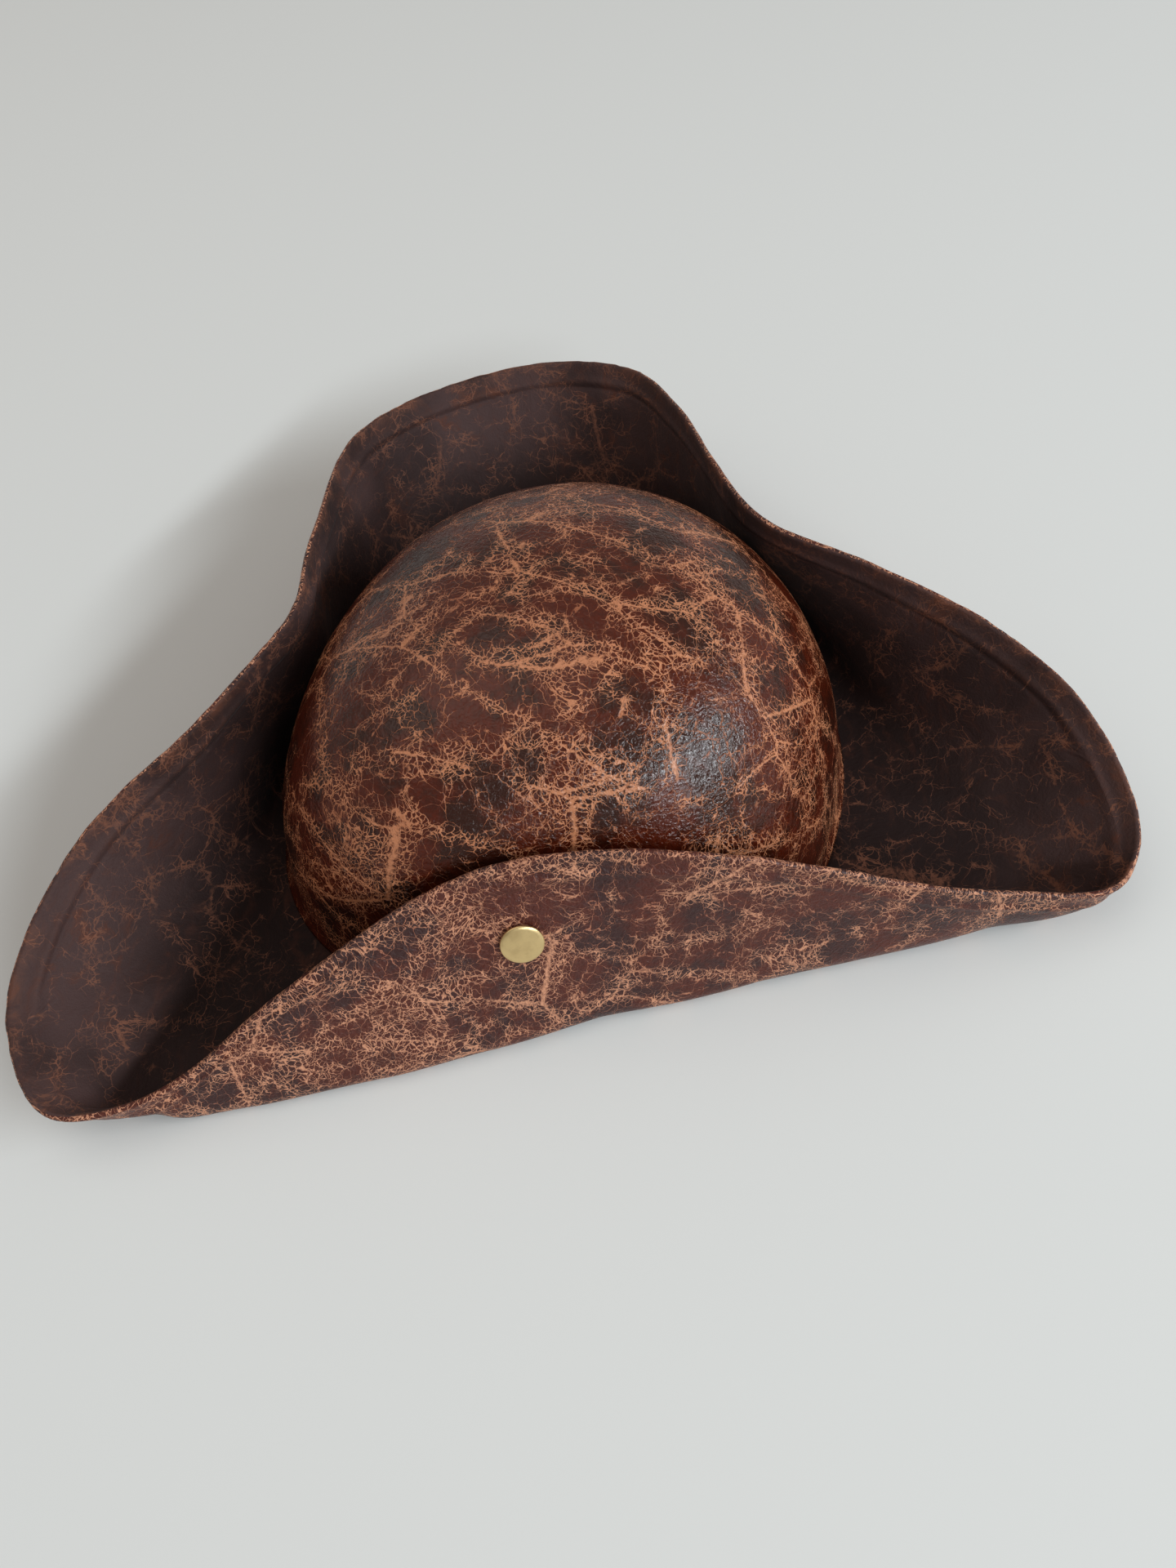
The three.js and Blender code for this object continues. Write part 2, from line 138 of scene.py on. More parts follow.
@dataclass(frozen=True)
class HatSizes:
    """Sizes of the hat in millimetres, as in the part.

    fold_gaps is the room that the fold leaves beside the flare, in gaps. fold_share and
    hem_share are the most that the fold and the hem take of the flap. flare_loss is the share
    of the flare that is gone where the foot is pressed flat.
    """

    axis_x: float = 3.85
    axis_y: float = -41.14
    gap: float = 0.3
    crown_left: float = 88.0
    crown_right: float = 91.5
    crown_near: float = 84.0
    crown_far: float = 108.0
    crown_turn: float = 67.0
    near_round: float = 2.6
    far_round: float = 2.05
    flat: float = 13.0
    flat_towards: float = 278.0
    flat_width: float = 45.0
    fullness: float = 2.2
    top: float = 90.0
    wall: float = 1.8
    flare: float = 3.0
    flare_height: float = 4.5
    flare_loss: float = 0.75
    width: float = 90.0
    flap: float = 60.0
    thick: float = 2.2
    ridge: float = 0.55
    ridge_inset: float = 6.2
    ridge_width: float = 1.5
    hem: float = 11.0
    crisp: float = 9.0
    gentle: float = 44.0
    leaning: float = -10.0
    spreading: float = 36.0
    fold_gaps: float = 6.0
    fold_share: float = 0.85
    hem_share: float = 0.5
    chord_power: float = 0.75
    dent_depth: float = 3.0
    dent_height: float = 16.0
    dent_width: float = 30.0
    dent_share: float = 0.933
    pull_spread: float = 18.0
    pull_foot: float = 8.0
    rivet_cap: float = 6.25
    rivet_dome: float = 0.5
    rivet_cheek: float = 1.0
    rivet_seat: float = 0.5
    rivet_shank: float = 1.6
    rivet_head: float = 3.6
    rivet_head_thick: float = 0.9
    rim: tuple[RimRow, ...] = tuple(RimRow(*row) for row in (
        (267, -0.126, 1.00, 0.124), (285, -0.114, 0.97, 0.096), (300, -0.029, 0.87, 0.157),
        (310, 0.139, 0.73, 0.279), (323, 0.579, 0.42, 0.599), (330.5, 0.956, 0.30, 0.866),
        (335, 0.982, 0.37, 0.712), (347, 0.791, 0.63, 0.391), (358, 0.507, 0.80, 0.217),
        (10, 0.173, 0.95, 0.157), (30, -0.105, 1.03, 0.148), (49, 0.046, 0.97, 0.176),
        (60, 0.372, 0.87, 0.202), (68, 0.650, 0.78, 0.280), (78, 0.738, 0.75, 0.308),
        (95, 0.673, 0.78, 0.303), (107, 0.559, 0.84, 0.279), (128, 0.139, 0.97, 0.126),
        (149, 0.010, 1.00, 0.128), (170, 0.128, 0.95, 0.126), (186, 0.644, 0.67, 0.234),
        (198, 0.959, 0.42, 0.489), (207, 1.006, 0.28, 0.796), (211.5, 0.800, 0.26, 0.794),
        (218, 0.327, 0.58, 0.627), (231, -0.020, 0.87, 0.374), (245, -0.099, 0.97, 0.241),
    ))
    flaps: tuple[Flap, ...] = (
        Flap("near", 272, 1.0, 251, 0.617, 0.0),
        Flap("right", 30, 0.0, 36, 0.567, 0.8),
        Flap("left", 149, 0.0, 146, 0.567, 0.8),
    )

    def flattened(self, angle: np.ndarray) -> np.ndarray:
        """Return how much of the near flap's flattening acts in each direction."""
        return bell(degrees_apart(np.degrees(angle), self.flat_towards), self.flat_width)

    def foot(self, angle: np.ndarray) -> np.ndarray:
        """Work out the crown's foot: two half superellipses, pressed flat on the near side.

        Args:
            angle: Directions round the axis, radians.

        Returns:
            The foot's radius in each direction, in millimetres.
        """
        along = np.cos(angle - math.radians(self.crown_turn))
        across = np.sin(angle - math.radians(self.crown_turn))
        half = np.where(along > 0, self.crown_far, self.crown_near)
        side = np.where(across > 0, self.crown_left, self.crown_right)
        power = np.where(along > 0, self.far_round, self.near_round)
        oval = (np.abs(along / half) ** power + np.abs(across / side) ** power) ** (-1.0 / power)
        return oval - self.flat * self.flattened(angle)

    def flare_at(self, angle: np.ndarray) -> np.ndarray:
        """Return the outward sweep of the crown's foot in each direction."""
        return self.flare * (1.0 - self.flare_loss * self.flattened(angle))


# --- meshes
def mesh_object(name: str, points: np.ndarray, quads: np.ndarray,
                slots: np.ndarray | None = None) -> bpy.types.Object:
    """Make a smooth-shaded mesh object at the origin.

    Args:
        name: Name of the object.
        points: Places in millimetres, one row each.
        quads: Corner numbers, four to a row; a repeated last corner makes a triangle.
        slots: Material slot of each face, or None for the first.

    Returns:
        The new object, linked to the scene.
    """
    mesh = bpy.data.meshes.new(name)
    faces = [tuple(q[:3]) if q[2] == q[3] else tuple(q) for q in quads.tolist()]
    mesh.from_pydata((points * MM).tolist(), [], faces)
    mesh.polygons.foreach_set("use_smooth", np.ones(len(faces), dtype=bool))
    if slots is not None:
        mesh.polygons.foreach_set("material_index", slots.astype(np.int32))
    mesh.update()
    piece = bpy.data.objects.new(name, mesh)
    bpy.context.collection.objects.link(piece)
    return piece


def grid_quads(rows: int, columns: int, close_rows: bool, close_columns: bool) -> np.ndarray:
    """Number the quads of a grid of points that is stored row by row.

    Args:
        rows: Number of rows.
        columns: Number of columns.
        close_rows: Whether the last row joins the first.
        close_columns: Whether the last column joins the first.

    Returns:
        Array of four corner numbers for each quad.
    """
    r = np.arange(rows if close_rows else rows - 1)
    c = np.arange(columns if close_columns else columns - 1)
    rr, cc = np.meshgrid(r, c, indexing="ij")
    rn, cn = (rr + 1) % rows, (cc + 1) % columns
    corners = [rr * columns + cc, rn * columns + cc, rn * columns + cn, rr * columns + cn]
    return np.stack(corners, axis=-1).reshape(-1, 4)


def fan(ring: np.ndarray, apex: int, flipped: bool = False) -> np.ndarray:
    """Return the triangles from a ring of corner numbers to its apex, turned over if flipped."""
    pair = [np.roll(ring, -1), ring] if flipped else [ring, np.roll(ring, -1)]
    return np.stack([*pair, np.full_like(ring, apex), np.full_like(ring, apex)], axis=1)


def store(piece: bpy.types.Object, name: str, values: np.ndarray) -> None:
    """Store one number at each point of a piece, for its materials to read."""
    attribute = piece.data.attributes.new(name, "FLOAT", "POINT")
    attribute.data.foreach_set("value", values.reshape(-1).astype(np.float32))


def ways_across(out: np.ndarray) -> tuple[np.ndarray, np.ndarray]:
    """Work out two directions across a third by cross products with the vertical and itself.

    Args:
        out: The third direction, of unit length.

    Returns:
        The level direction and the rising one, of unit length.
    """
    side = np.cross((0.0, 0.0, 1.0), out)
    side = side / np.linalg.norm(side)
    return side, np.cross(out, side)


@dataclass
class LeatherShape:
    """The surfaces of the hat, worked out from its sizes."""

    sizes: HatSizes = field(default_factory=HatSizes)

    def rim_curve(self, count: int) -> np.ndarray:
        """Run a closed smooth curve through the rim's rows.

        Each stretch is a cubic that meets its neighbours with the tangent of a parabola
        through three rows; the rows are spaced by a power of the chord between them.

        Args:
            count: Number of places round the rim.

        Returns:
            Array of count rows: x, y, z and fold distance, in millimetres.
        """
        s = self.sizes
        table = np.array([[math.radians(r.towards), r.reach, r.rise, r.fold] for r in s.rim])
        foot = s.foot(table[:, 0])
        reach = foot + s.width * table[:, 1]
        rows = np.stack([
            reach * np.cos(table[:, 0]), reach * np.sin(table[:, 0]),
            s.flap * table[:, 2], foot + s.width * table[:, 3]], axis=1)
        ahead = np.roll(rows, -1, axis=0)
        chord = (np.linalg.norm((ahead - rows)[:, :3], axis=1) ** s.chord_power)[:, None]
        before = np.roll(chord, 1, axis=0)
        slope = (ahead - rows) / chord
        tangent = (np.roll(slope, 1, axis=0) * chord + slope * before) / (before + chord)
        knots = np.concatenate([[0.0], np.cumsum(chord[:, 0])])
        at = np.linspace(0.0, knots[-1], count, endpoint=False)
        i = np.clip(np.searchsorted(knots, at, side="right") - 1, 0, len(rows) - 1)
        h = chord[i]
        x = ((at - knots[i]) / h[:, 0])[:, None]
        j = (i + 1) % len(rows)
        return (rows[i] * (1 + 2 * x) * (1 - x) ** 2 + tangent[i] * h * x * (1 - x) ** 2
                + rows[j] * x * x * (3 - 2 * x) + tangent[j] * h * x * x * (x - 1))

    def flap_line(self, rim: np.ndarray, flat: int, bend: int,
                  wall: int) -> tuple[np.ndarray, np.ndarray, np.ndarray]:
        """Work out upright sections of the brim's middle: flat strip, fold and straight flap.

        The strip runs out flat to a corner, which a parabola rounds off, and the flap runs
        straight on to the rim.

        Args:
            rim: Rows of x, y, z and fold distance.
            flat: Points on the flat strip.
            bend: Points on the fold.
            wall: Points on the flap; a third of them lie on the hem.

        Returns:
            Directions as a column, and the distances from the axis and the heights.
        """
        s = self.sizes
        angle = np.arctan2(rim[:, 1], rim[:, 0])[:, None]
        reach = np.hypot(rim[:, 0], rim[:, 1])[:, None]
        top, corner, mid = rim[:, 2][:, None], rim[:, 3][:, None], s.thick / 2
        start = s.foot(angle) - s.wall
        opened = smooth_step(reach - corner, s.leaning, s.spreading)
        length = np.hypot(reach - corner, top - mid)
        room = corner - s.foot(angle) - s.flare_at(angle) - s.fold_gaps * s.gap
        wanted = s.crisp + (s.gentle - s.crisp) * opened
        size = np.minimum(np.minimum(wanted, room), s.fold_share * length)
        end_r, end_z = corner + size * (reach - corner) / length, mid + size * (top - mid) / length
        t = np.linspace(0.0, 1.0, flat, endpoint=False)[None, :]
        strip_r, strip_z = start + (corner - size - start) * t, mid + 0 * t * start
        t = np.linspace(0.0, 1.0, bend, endpoint=False)[None, :]
        fold_r = (1 - t) ** 2 * (corner - size) + 2 * t * (1 - t) * corner + t * t * end_r
        fold_z = (1 - t * t) * mid + t * t * end_z
        hem = np.minimum(s.hem / np.hypot(reach - end_r, top - end_z), s.hem_share)
        most = wall - wall // 3
        t = np.concatenate([(1 - hem) * np.linspace(0.0, 1.0, most, endpoint=False)[None, :],
                            1 - hem * np.linspace(1.0, 0.0, wall // 3)[None, :]], axis=1)
        flap_r, flap_z = end_r + (reach - end_r) * t, end_z + (top - end_z) * t
        r = np.concatenate([strip_r, fold_r, flap_r], axis=1)
        return angle, r, np.concatenate([strip_z, fold_z, flap_z], axis=1)

    def draw_depth(self, flap: Flap) -> float:
        """Work out how far a rivet draws its flap in: a share of the room between flap and crown.

        Args:
            flap: The flap, with its rivet's place and share.

        Returns:
            The distance in millimetres.
        """
        s = self.sizes
        up = flap.rivet_up * s.flap
        rim = self.rim_curve(2000)
        miss = np.abs(degrees_apart(np.degrees(np.arctan2(rim[:, 1], rim[:, 0])), flap.rivet_at))
        flat = 12
        _, r, z = self.flap_line(rim[[int(miss.argmin())]], flat, bend=40, wall=60)
        crown = self.crown_radius(np.array(math.radians(flap.rivet_at)), np.array(up), 0.0)
        room = np.interp(up, z[0, flat:], r[0, flat:]) - s.thick / 2 - crown - 2 * s.gap
        return float(flap.drawn * room)

    def brim_middle(self, columns: int, flat: int, bend: int, wall: int) -> np.ndarray:
        """Work out the brim's middle surface, drawn in at the rivets.

        A rivet draws the flap in by a bell-shaped amount round its cap.

        Args:
            columns: Number of sections round the hat.
            flat: Points on the flat strip.
            bend: Points on the fold.
            wall: Points on the flap.

        Returns:
            Array of columns by points by 3, in millimetres about the crown's axis.
        """
        s = self.sizes
        angle, r, z = self.flap_line(self.rim_curve(columns), flat, bend, wall)
        for flap in s.flaps:
            aside = r * np.radians(degrees_apart(np.degrees(angle), flap.rivet_at))
            past = np.maximum(np.hypot(aside, z - flap.rivet_up * s.flap) - s.rivet_cap, 0.0)
            rising = np.clip((z - s.thick / 2) / s.pull_foot, 0.0, 1.0)
            r = r - self.draw_depth(flap) * bell(past, s.pull_spread) * rising
        return np.stack([r * np.cos(angle), r * np.sin(angle), z], axis=-1)

    def crown_face(self, angle: np.ndarray, t: np.ndarray, inset: float) -> np.ndarray:
        """Work out one face of the crown: a superellipse profile over the foot's outline.

        Args:
            angle: Directions round the axis, radians.
            t: 0 at the foot to 1 at the top.
            inset: 0 for the outer face, or the wall's thickness for the inner.

        Returns:
            Array of places in millimetres about the crown's axis.
        """
        s = self.sizes
        foot_z = s.thick + s.gap
        lift = t * math.pi / 2
        z = foot_z + (s.top - foot_z - inset) * np.sin(lift) ** (2 / s.fullness)
        r = (s.foot(angle) - inset) * np.maximum(np.cos(lift), 0.0) ** (2 / s.fullness)
        r = self.pressed(r, angle, z, inset == 0)
        return np.stack([r * np.cos(angle), r * np.sin(angle), z + 0.0 * r], axis=-1)

    def crown_radius(self, angle: np.ndarray, z: np.ndarray, inset: float) -> np.ndarray:
        """Solve the crown's profile for its radius at a height: the same superellipse, turned round.

        Args:
            angle: Directions round the axis, radians.
            z: Heights in millimetres.
            inset: 0 for the outer face, or the wall's thickness for the inner.

        Returns:
            Distances from the crown's axis, in millimetres.
        """
        s = self.sizes
        foot_z = s.thick + s.gap
        lift = np.clip((z - foot_z) / (s.top - foot_z - inset), 0.0, 1.0) ** (s.fullness / 2)
        r = (s.foot(angle) - inset) * np.sqrt(1.0 - lift * lift) ** (2 / s.fullness)
        return self.pressed(r, angle, z, inset == 0)

    def pressed(self, r: np.ndarray, angle: np.ndarray, z: np.ndarray, outer: bool) -> np.ndarray:
        """Add the foot's flare and the flaps' dents to the crown's plain radius.

        The flare dies away exponentially upwards. Each dent is a bell across and a bell
        upwards.

        Args:
            r: Plain distances from the crown's axis, in millimetres.
            angle: Directions round the axis, radians.
            z: Heights in millimetres.
            outer: Whether this is the outer face, which alone has the flare.

        Returns:
            The finished distances from the axis.
        """
        s = self.sizes
        if outer:
            r = r + s.flare_at(angle) * np.exp(-(z - (s.thick + s.gap)) / s.flare_height)
        up = bell(z - s.dent_share * s.flap, s.dent_height)
        for flap in s.flaps:
            side = bell(degrees_apart(np.degrees(angle), flap.faces), s.dent_width)
            r = r - s.dent_depth * flap.press * side * up
        return r

    def placed(self, points: np.ndarray) -> np.ndarray:
        """Move points from the crown's axis to the part's frame."""
        return points + np.array([self.sizes.axis_x, self.sizes.axis_y, 0.0])


def surface_normals(grid: np.ndarray, close_rows: bool = True) -> np.ndarray:
    """Work out the normals of a grid of points: the cross product of its two differences.

    Args:
        grid: Array of rows by columns by 3.
        close_rows: Whether the last row joins the first.

    Returns:
        Unit normals, in an array like the grid.
    """
    if close_rows:
        across = np.roll(grid, -1, axis=0) - np.roll(grid, 1, axis=0)
    else:
        across = np.gradient(grid, axis=0)
    along = np.gradient(grid, axis=1)
    normal = np.cross(along, across)
    return normal / np.maximum(np.linalg.norm(normal, axis=-1, keepdims=True), 1e-12)


# --- shader maths
class Shade:
    """A shader socket that Python arithmetic adds Math nodes to."""

    def __init__(self, shop: "ShaderShop", socket: Any) -> None:
        """Hold an output socket and the shop that adds nodes for it."""
        self.shop = shop
        self.socket = socket

    def _maths(self, operation: str, first: Any, second: Any = None) -> "Shade":
        """Add one Math node and return its result."""
        values = {0: first} if second is None else {0: first, 1: second}
        return self.shop.add("ShaderNodeMath", {"operation": operation}, values)

    def __add__(self, other: Any) -> "Shade":
        """Return self + other."""
        return self._maths("ADD", self, other)

    def __radd__(self, other: Any) -> "Shade":
        """Return other + self."""
        return self._maths("ADD", other, self)

    def __sub__(self, other: Any) -> "Shade":
        """Return self - other."""
        return self._maths("SUBTRACT", self, other)

    def __rsub__(self, other: Any) -> "Shade":
        """Return other - self."""
        return self._maths("SUBTRACT", other, self)

    def __mul__(self, other: Any) -> "Shade":
        """Return self * other."""
        return self._maths("MULTIPLY", self, other)

    def __rmul__(self, other: Any) -> "Shade":
        """Return other * self."""
        return self._maths("MULTIPLY", other, self)

    def __truediv__(self, other: Any) -> "Shade":
        """Return self / other."""
        return self._maths("DIVIDE", self, other)

    def size(self) -> "Shade":
        """Return self without its sign."""
        return self._maths("ABSOLUTE", self)

    def least(self, other: Any) -> "Shade":
        """Return the smaller of self and other."""
        return self._maths("MINIMUM", self, other)

    def most(self, other: Any) -> "Shade":
        """Return the larger of self and other."""
        return self._maths("MAXIMUM", self, other)

    def _step(self, low: float, high: float, start: float, end: float) -> "Shade":
        """Return a smooth step of self, from start at low to end at high."""
        return self.shop.add("ShaderNodeMapRange", {"interpolation_type": "SMOOTHSTEP"}, {
            "Value": self, "From Min": low, "From Max": high, "To Min": start, "To Max": end})

    def rising(self, low: float, high: float) -> "Shade":
        """Return a smooth step of self: 0 at low, 1 at high."""
        return self._step(low, high, 0.0, 1.0)

    def falling(self, low: float, high: float) -> "Shade":
        """Return a smooth step of self: 1 at low, 0 at high."""
        return self._step(low, high, 1.0, 0.0)


class ShaderShop:
    """Adds the nodes of one material."""

    def __init__(self, name: str) -> None:
        """Start a material with its output, a Principled shader and its Object coordinates.

        Args:
            name: The material's name.
        """
        self.material = bpy.data.materials.new(name)
        self.material.use_nodes = True
        self.tree = self.material.node_tree
        self.tree.nodes.clear()
        self.output = self.tree.nodes.new("ShaderNodeOutputMaterial")
        self.shader = self.tree.nodes.new("ShaderNodeBsdfPrincipled")
        self.tree.links.new(self.shader.outputs[0], self.output.inputs[0])
        self.place = self.add("ShaderNodeTexCoord", {}, {}, "Object")

    def feed(self, socket: Any, value: Any) -> None:
        """Link a Shade to a socket, or set the socket's own value.

        Args:
            socket: The input socket.
            value: A Shade, a number, a vector or a colour of three numbers.
        """
        if isinstance(value, Shade):
            self.tree.links.new(value.socket, socket)
        elif isinstance(value, (tuple, list)) and len(value) == 3 and socket.type == "RGBA":
            socket.default_value = (*value, 1.0)
        else:
            socket.default_value = value

    def add(self, kind: str, settings: dict[str, Any], values: dict[Any, Any], output: Any = 0) -> Shade:
        """Add one node.

        Args:
            kind: The node's type name.
            settings: Properties set first, such as a Math node's operation.
            values: Socket names or numbers to values or Shades.
            output: Name or number of the output to return.

        Returns:
            The chosen output, wrapped.
        """
        node = self.tree.nodes.new(kind)
        for key, value in settings.items():
            setattr(node, key, value)
        for key, value in values.items():
            self.feed(node.inputs[key], value)
        return Shade(self, node.outputs[output])

    def surface(self, values: dict[str, Any]) -> bpy.types.Material:
        """Feed the Principled shader's sockets.

        Args:
            values: Socket names to values or Shades.

        Returns:
            The finished material.
        """
        for key, value in values.items():
            self.feed(self.shader.inputs[key], value)
        return self.material

    def stored(self, name: str) -> Shade:
        """Return the number that the piece's mesh stores at its points under a name."""
        return self.add("ShaderNodeAttribute", {"attribute_name": name}, {}, "Fac")

    def noise(self, place: Shade, scale: float, detail: float = 3.0, rough: float = 0.5,
              colour: bool = False) -> Shade:
        """Return fractal noise at a place, as a value or as a colour."""
        values = {"Vector": place, "Scale": scale, "Detail": detail, "Roughness": rough}
        return self.add("ShaderNodeTexNoise", {}, values, "Color" if colour else "Fac")

    def drawn(self, place: Shade, towards: float, stretch: float) -> Shade:
        """Return a place whose patterns come out stretched along a level direction, in degrees."""
        return self.add("ShaderNodeMapping", {"vector_type": "TEXTURE"}, {
            "Vector": place, "Rotation": (0.0, 0.0, math.radians(towards)), "Scale": (stretch, 1.0, 1.0)})

    def vectors(self, operation: str, first: Any, second: Any) -> Shade:
        """Return the result of one Vector Math node."""
        return self.add("ShaderNodeVectorMath", {"operation": operation}, {0: first, 1: second})

    def warped(self, place: Shade, scale: float, amount: float, detail: float = 2.0) -> Shade:
        """Push a place about: place + 2 * amount * (noise - 0.5) on each axis.

        Args:
            place: The place to push.
            scale: The noise's scale, for each metre.
            amount: The push in metres.
            detail: The noise's finer layers.

        Returns:
            The pushed place.
        """
        push = self.noise(place, scale, detail, 0.55, colour=True)
        centred = self.vectors("SUBTRACT", push, (0.5, 0.5, 0.5))
        return self.vectors("ADD", place, self.vectors("MULTIPLY", centred, (2 * amount,) * 3))

    def cells(self, place: Shade, scale: float, feature: str = "DISTANCE_TO_EDGE") -> Shade:
        """Return a distance in a pattern of cells: by default that to the nearest cell edge."""
        return self.add(
            "ShaderNodeTexVoronoi", {"feature": feature}, {"Vector": place, "Scale": scale}, "Distance")

    def mix(self, factor: Any, first: Any, second: Any) -> Shade:
        """Return a blend of two colours."""
        return self.add("ShaderNodeMix", {"data_type": "RGBA"}, {0: factor, 6: first, 7: second}, 2)

    def bump(self, height: Any, distance: float, strength: float) -> Shade:
        """Return a normal from a height, for a distance in metres."""
        return self.add("ShaderNodeBump", {}, {"Height": height, "Distance": distance, "Strength": strength})


class Gloss(Enum):
    """How rough a leather face is."""

    SATIN = 0.165
    DULL = 0.33
    MATT = 0.66


@dataclass(frozen=True)
class LongCrack:
    """How one kind of long line opens, measured in its pattern's cells.

    It opens where a guiding noise passes start and gains width with it, up to widest. Its
    sides are ragged by fray and soft by blur.
    """

    start: float
    gain: float
    widest: float
    fray: float
    blur: float

    def cover(self, guide: Shade, ragged: Shade, distance: Shade, soften: float) -> Shade:
        """Return the line's half width less the distance from its middle, over its blur."""
        half = ((guide - self.start) * self.gain).least(self.widest) + (ragged - 0.5) * self.fray
        return (half - distance) / (self.blur * soften)


@dataclass(frozen=True)
class SmallCrack:
    """How one size of small crack shows, measured in its own cells.

    scale is the cells for each metre. The half width is thin and gains with the density, and
    the cracks fade in between the densities sparse and full.
    """

    scale: float
    thin: float
    gain: float
    blur: float
    sparse: float
    full: float

    def cover(self, shop: ShaderShop, place: Shade, density: Shade, finer: float, soften: float) -> Shade:
        """Work out how far inside a crack a place is.

        It is the half width less the distance to a cell edge, over the blur, times the fade.

        Args:
            shop: The material's node shop.
            place: The place in the pattern.
            density: The crazing's density, 0 to 1.
            finer: Factor on the scale.
            soften: Factor on the blur.

        Returns:
            The cover, above 0 inside a crack.
        """
        distance = shop.cells(place, self.scale * finer)
        inside = ((self.thin + density * self.gain) - distance) / (self.blur * soften)
        return inside * density.rising(self.sparse, self.full)


@dataclass(frozen=True)
class Crazing:
    """The tan network that shows where a leather's dark top coat has cracked.

    cover shifts how much of the face is crazed, soften blurs the lines, pulls is the
    strength of the long strokes, and finer makes the small cracks closer together.
    Directions are in degrees, scales in cells for each metre, and most is the highest
    density.
    """

    cover: float
    soften: float
    pulls: float
    finer: float
    pull_towards: float = -36.0
    pull_stretch: float = 3.2
    pull_scale: float = 46.0
    cross_towards: float = 36.0
    cross_stretch: float = 3.0
    cross_scale: float = 44.0
    island_scale: float = 66.0
    most: float = 0.9
    fine: SmallCrack = SmallCrack(430.0, 0.022, 0.042, 0.032, 0.42, 0.82)
    middle: SmallCrack = SmallCrack(190.0, 0.014, 0.026, 0.015, 0.10, 0.40)
    border: LongCrack = LongCrack(0.42, 0.09, 0.009, 0.030, 0.010)
    stroke: LongCrack = LongCrack(0.43, 0.22, 0.018, 0.050, 0.014)
    side: LongCrack = LongCrack(0.48, 0.06, 0.007, 0.014, 0.006)

    def network(self, shop: ShaderShop, wear: Any) -> tuple[Shade, Shade]:
        """Work out the network.

        Long strokes are edges of large stretched cells, side strokes follow the lines where a
        stretched noise passes its middle value, and island borders are edges of middling
        cells. All three, with soft patches, raise a density.
        Middling and fine cracks are edges of small jagged cells that show only where the
        density is high, so that they feather out from strokes and borders.

        Args:
            shop: The material's node shop.
            wear: Extra density, such as along an edge.

        Returns:
            The network's cover and its density, both 0 to 1.
        """
        place, soft = shop.place, self.soften
        torn = shop.warped(shop.warped(place, 60.0, 0.0055, 2.0), 330.0, 0.0011, 3.0)
        jagged = shop.warped(torn, 1000.0, 0.00032, 2.0)
        swept = shop.warped(shop.warped(place, 24.0, 0.0070, 1.0), 520.0, 0.0009, 3.0)
        pull = shop.cells(shop.drawn(swept, self.pull_towards, self.pull_stretch), self.pull_scale)
        lean = shop.drawn(swept, self.cross_towards, self.cross_stretch)
        cross = (shop.noise(lean, self.cross_scale, 1.0) - 0.5).size()
        islands = shop.cells(torn, self.island_scale)
        patch = shop.noise(place, 36.0, 2.0)
        grade = shop.noise(torn, 150.0, 3.0, 0.65)
        ragged = shop.noise(jagged, 800.0, 2.0, 0.6)
        density = pull.falling(0.0, 0.16) * (0.48 * self.pulls) + cross.falling(0.0, 0.040) * 0.20
        density = density + islands.falling(0.0, 0.24) * 0.42
        density = density + (patch - 0.5) * 1.2 + (grade - 0.5) * 0.9 + self.cover + wear
        density = density.least(self.most).most(0.0)
        lines = self.fine.cover(shop, jagged, density, self.finer, soft)
        for other in (
                self.middle.cover(shop, jagged, density, self.finer, soft),
                self.border.cover(grade, ragged, islands, soft),
                self.stroke.cover(patch, ragged, pull, soft) * self.pulls,
                self.side.cover(grade, ragged, cross, soft)):
            lines = lines.most(other)
        return lines.least(1.0).most(0.0), density


